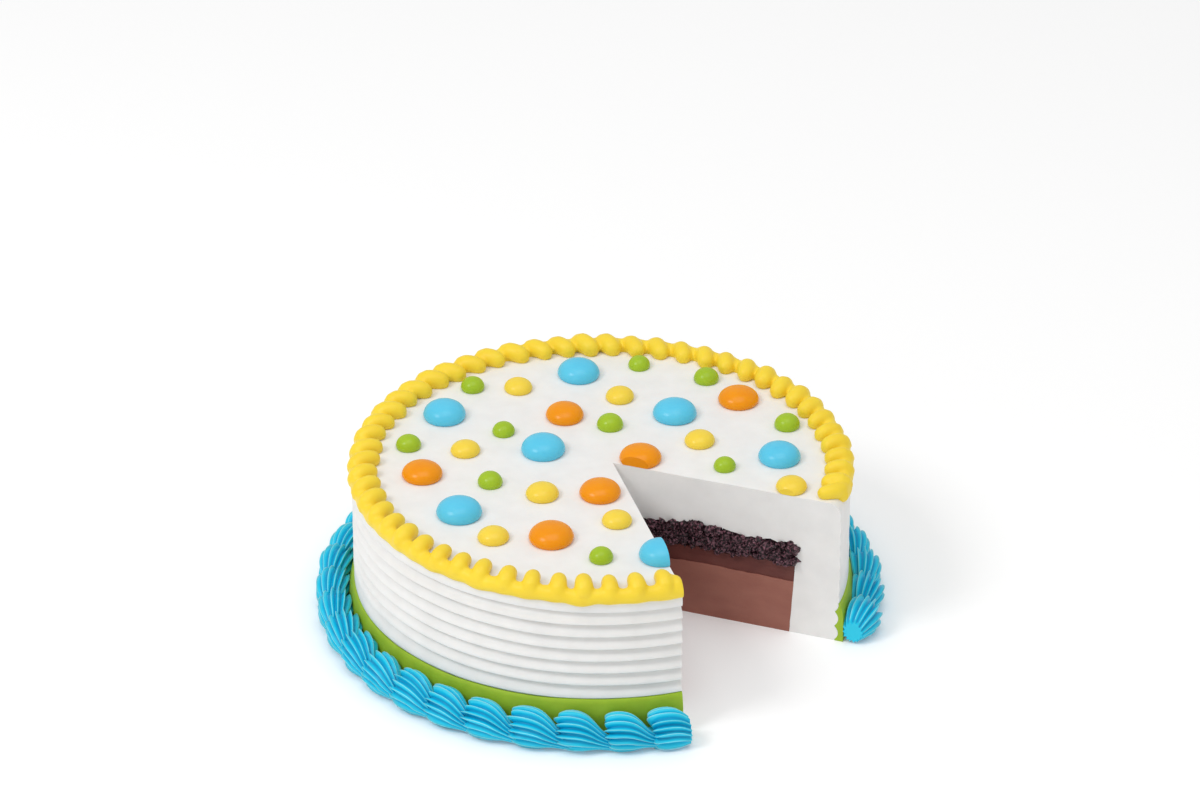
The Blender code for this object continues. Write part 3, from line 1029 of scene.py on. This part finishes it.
# From under the head to the end of the tail:
# (distance along, height, tilt of the section from level in degrees, half width, half height)
SHELL_FORM = (
    (-5.8, 5.6, 80.0, 3.2, 3.2),
    (-5.2, 6.2, 79.0, 6.3, 6.5),
    (-4.3, 6.7, 79.0, 7.5, 7.9),
    (-2.0, 7.2, 82.0, 8.2, 8.6),
    (1.0, 7.4, 87.0, 8.1, 8.5),
    (3.8, 7.0, 93.0, 7.3, 7.7),
    (6.4, 6.0, 99.0, 5.9, 6.2),
    (8.9, 4.8, 104.0, 4.4, 4.5),
    (11.6, 3.8, 106.0, 3.3, 3.4),
    (14.8, 2.9, 106.0, 2.6, 2.6),
    (18.2, 2.1, 104.0, 1.8, 1.8),
    (20.8, 1.5, 100.0, 0.8, 0.8),
)


def smooth_value(a, b, c, d, t):
    """The value at a share t of the way from b to c, on a smooth curve through a, b, c and d."""
    return 0.5 * (
        2 * b + (c - a) * t + (2 * a - 5 * b + 4 * c - d) * t * t
        + (3 * b - a - 3 * c + d) * t ** 3
    )


def smooth_rows(rows, count):
    """Rows of numbers read along a smooth curve through the given rows."""
    made = []
    for step in range(count):
        place = step / (count - 1) * (len(rows) - 1)
        i = min(int(place), len(rows) - 2)
        near = [rows[min(max(k, 0), len(rows) - 1)] for k in (i - 1, i, i + 1, i + 2)]
        made.append([smooth_value(*values, place - i) for values in zip(*near)])
    return made


print("a shell is", round(SHELL_FORM[-1][0] - SHELL_FORM[0][0], 1), "mm from head to tail")

# %% [markdown]
# A star nozzle gives the shell sharp crests with hollow flutes between, which run from the tail over
# the body and curl down in front of the head. So the section is a star. Its underside is pressed
# flat on the floor and its back on the wall. No two crests are alike: each has its own depth, a
# small stray to one side, and its own curl at the head.

# %% One shell
SHELL_CRESTS = 15
SHELL_FLUTE_POINTS = 5
SHELL_DEPTH = 0.4
SHELL_WALL = 103.3
SHELL_CENTRE = 109.4
SHELL_OUTER = 117.1


def flute_hollow(place):
    """How hollow the section is at a place of its loop: 0 on a crest, 1 in the middle of a flute."""
    part = (place % SHELL_FLUTE_POINTS) / SHELL_FLUTE_POINTS
    return (1.0 - abs(2.0 * part - 1.0)) ** 0.8


def curl(share):
    """How much of a crest's curl there is at a share of the shell: soon all of it, then none."""
    if share < 0.12:
        return min(share * 12.0, 1.0)
    return max(0.0, 1.4 - 3.4 * share)


def add_shell(bm, head_angle, way, size, draw):
    """One shell from its head, drawn out one way round the cake. Marks the crests of its flutes."""
    crest_mark = bm.verts.layers.float.get("crest") or bm.verts.layers.float.new("crest")
    count = SHELL_CRESTS * SHELL_FLUTE_POINTS
    start = math.radians(draw.uniform(-10.0, 10.0))
    twist = way * math.radians(draw.uniform(8.0, 30.0))
    lean = draw.uniform(-0.8, 0.8)
    stretch = draw.uniform(0.94, 1.06)
    depths = [SHELL_DEPTH * draw.uniform(0.75, 1.2) for _ in range(SHELL_CRESTS)]
    strays = [draw.uniform(-0.07, 0.07) for _ in range(SHELL_CRESTS)]
    tips = [draw.uniform(1.2, 2.8) for _ in range(SHELL_CRESTS)]
    rings = []
    for row, (along, height, tilt, wide, tall) in enumerate(smooth_rows(SHELL_FORM, SHELL_STEPS)):
        share = row / (SHELL_STEPS - 1)
        up = math.radians(tilt)
        ring = []
        for j in range(count):
            hollow = flute_hollow(j)
            flute = j // SHELL_FLUTE_POINTS
            reach = size * (1.0 - depths[flute] * hollow * (1.0 - 0.5 * share))
            turn = math.tau * j / count + start + twist * (1.0 - share) + strays[flute] * (1.0 - hollow)
            out = wide * reach * math.cos(turn)
            rise = tall * reach * math.sin(turn)
            radius = SHELL_CENTRE + (lean - 0.8 * way) * (1.0 - share) + 3.6 * way * share + out
            radius = min(max(radius, SHELL_WALL), SHELL_OUTER)
            tip = tips[flute] * (1.0 - hollow) * curl(share)
            spot = (along - tip - rise * math.cos(up)) * stretch / SHELL_CENTRE
            degrees = head_angle + way * math.degrees(spot)
            ring.append(around(radius, degrees, max(height + rise * math.sin(up), 0.0)))
        rings.append(ring)
    place = bm.verts.layers.int.get("place") or bm.verts.layers.int.new("place")
    for vert in sweep(bm, rings):
        vert[crest_mark] = 1.0 - flute_hollow(vert[place])


print("points round a shell:", SHELL_CRESTS * SHELL_FLUTE_POINTS)

# %% [markdown]
# ### Both runs
#
# The border was piped both ways from the back, so the two sides of the cake mirror each other. A
# shell that the knife went through is cut by itself before all of them are joined. Its cut face
# shows the inside of the icing, which has one pale tone and no flutes.

# %% Both runs of shells
CUT_TONE = 0.7
FIRST_PITCH = 0.94
PITCH_GROWTH = 0.06


def shell_run(first, last, count, way, draw):
    """Separate shells with their heads from one angle to another, at a pitch that grows a little."""
    shells = []
    for i in range(count):
        share = (i + draw.uniform(-0.04, 0.04)) / (count - 1)
        turn = first + (last - first) * share * (FIRST_PITCH + PITCH_GROWTH * share)
        bm = bmesh.new()
        add_shell(bm, turn, way, draw.uniform(0.95, 1.03), draw)
        bmesh.ops.recalc_face_normals(bm, faces=bm.faces[:])
        shells.append(as_object(f"shell_{way}_{i}", bm, "blue_icing", 180.0))
    return shells


def pale_cut(shell):
    """Makes the flat face that the knife left on a shell one pale tone."""
    flat = {i for face in shell.data.polygons if not face.use_smooth for i in face.vertices}
    marks = shell.data.attributes["crest"].data
    for i in flat:
        marks[i].value = CUT_TONE


shell_draw = random.Random(5)
shells = shell_run(94.0, LEFT_CUT + FULL_TURN - 1.5, 22, 1, shell_draw)
shells += shell_run(88.0, RIGHT_CUT + 6.6, 12, -1, shell_draw)
print("shells piped:", len(shells))

# %% [markdown]
# Whether the knife meets a shell is told by its points: those between the two cuts lie in the wedge.
# A thin tail gave way under the knife as the fudge did, so it is cut with the same larger wedge.

# %% Cut and join the shells
right_side = around(1.0, RIGHT_CUT, 0.0)
left_side = around(1.0, LEFT_CUT, 0.0)
kept = []
for shell in shells:
    points = [vert.co / MM - CUT_CORNER for vert in shell.data.vertices]
    inside = [p for p in points if right_side.cross(p).z < 0.0 and left_side.cross(p).z > 0.0]
    if len(inside) == len(points):
        remove_object(shell)
        continue
    if inside:
        tail_only = len(inside) < len(points) // 3
        take_away(shell, fudge_cut if tail_only else wedge)
        pale_cut(shell)
    kept.append(shell)
border = join_into(kept[0], kept[1:])
border.name = "blue_shells"
place_piece(border, "blue_icing", "blue_shell_border")

# %% [markdown]
# ## Dots of icing
#
# Soft icing let fall from a nozzle settles into a low dome with a steep rolled edge. The outline is
# part of a squashed circle, spun once round. The frame's box of each dot gives its place and its
# width, so the domes need no list of their own. Each colour was let fall from its own bag, so its
# dots share one roundness and stand a little taller than their solids. No two are quite round: a
# slow wave pulls each one a little out of true.

# %% A dome
DOT_STEPS = 48
DOT_POINTS = 12
DOT_FOOT = -0.3
DOT_POWER = {"blue": 2.35, "orange": 2.3, "yellow": 2.2, "green": 2.15}
DOT_RISE = {"blue": 1.2, "orange": 1.04, "yellow": 1.06, "green": 1.1}
# The knife went through three dots, so their boxes don't show their middles.
DOT_CENTRES = {"blue_dot_7": (23.4, -71.2), "orange_dot_4": (16.0, 4.3), "yellow_dot_8": (76.6, -18.6)}


def dome(radius, height, power):
    """A low dome on its flat base, in the middle of the frame."""
    outline = [(0.0, DOT_FOOT), (radius * 0.93, DOT_FOOT), (radius * 0.975, height * 0.08)]
    for i in range(DOT_POINTS + 1):
        turn = math.radians(8.0 + 82.0 * i / DOT_POINTS)
        outline.append((
            radius * abs(math.cos(turn)) ** (2.0 / power) if i < DOT_POINTS else 0.0,
            height * math.sin(turn) ** (2.0 / power),
        ))
    return turned(outline, DOT_STEPS)


print("dots that the knife went through:", len(DOT_CENTRES))

# %% Every dot in its place
def make_dot(name, colour, draw):
    """A dome in the place of a solid dot, with the dot's own width and nearly its height."""
    low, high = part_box(name)
    low, high = low / MM, high / MM
    middle = (low + high) / 2
    radius = max(high.x - low.x, high.y - low.y) / 2
    bm = dome(radius, (high.z - low.z) * DOT_RISE[colour], DOT_POWER[colour])
    phase = draw.uniform(0.0, math.tau)
    pull = draw.uniform(0.005, 0.018)
    for vert in bm.verts:
        turn = math.atan2(vert.co.y, vert.co.x)
        stretch = 1.0 - pull + pull * math.cos(2.0 * turn + phase)
        vert.co.x *= stretch
        vert.co.y *= stretch
    centre = DOT_CENTRES.get(name, (middle.x, middle.y))
    bmesh.ops.translate(bm, vec=(*centre, low.z), verts=bm.verts[:])
    piece = as_object(f"icing_{name}", bm, f"{colour}_dot_icing", 50.0)
    if name in DOT_CENTRES:
        take_away(piece, wedge)
    place_piece(piece, f"{colour}_dot_icing", name)


dot_draw = random.Random(3)
dot_names = sorted(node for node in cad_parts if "_dot_" in node)
for dot_name in dot_names:
    make_dot(dot_name, dot_name.split("_")[0], dot_draw)
print("dots", len(dot_names))

# %% [markdown]
# ## Deleting the helpers
#
# Last, the helpers that only cut are deleted.

# %% Delete the helpers
for helper in (wedge, fudge_cut, crumb_cut, core_space):
    remove_object(helper)
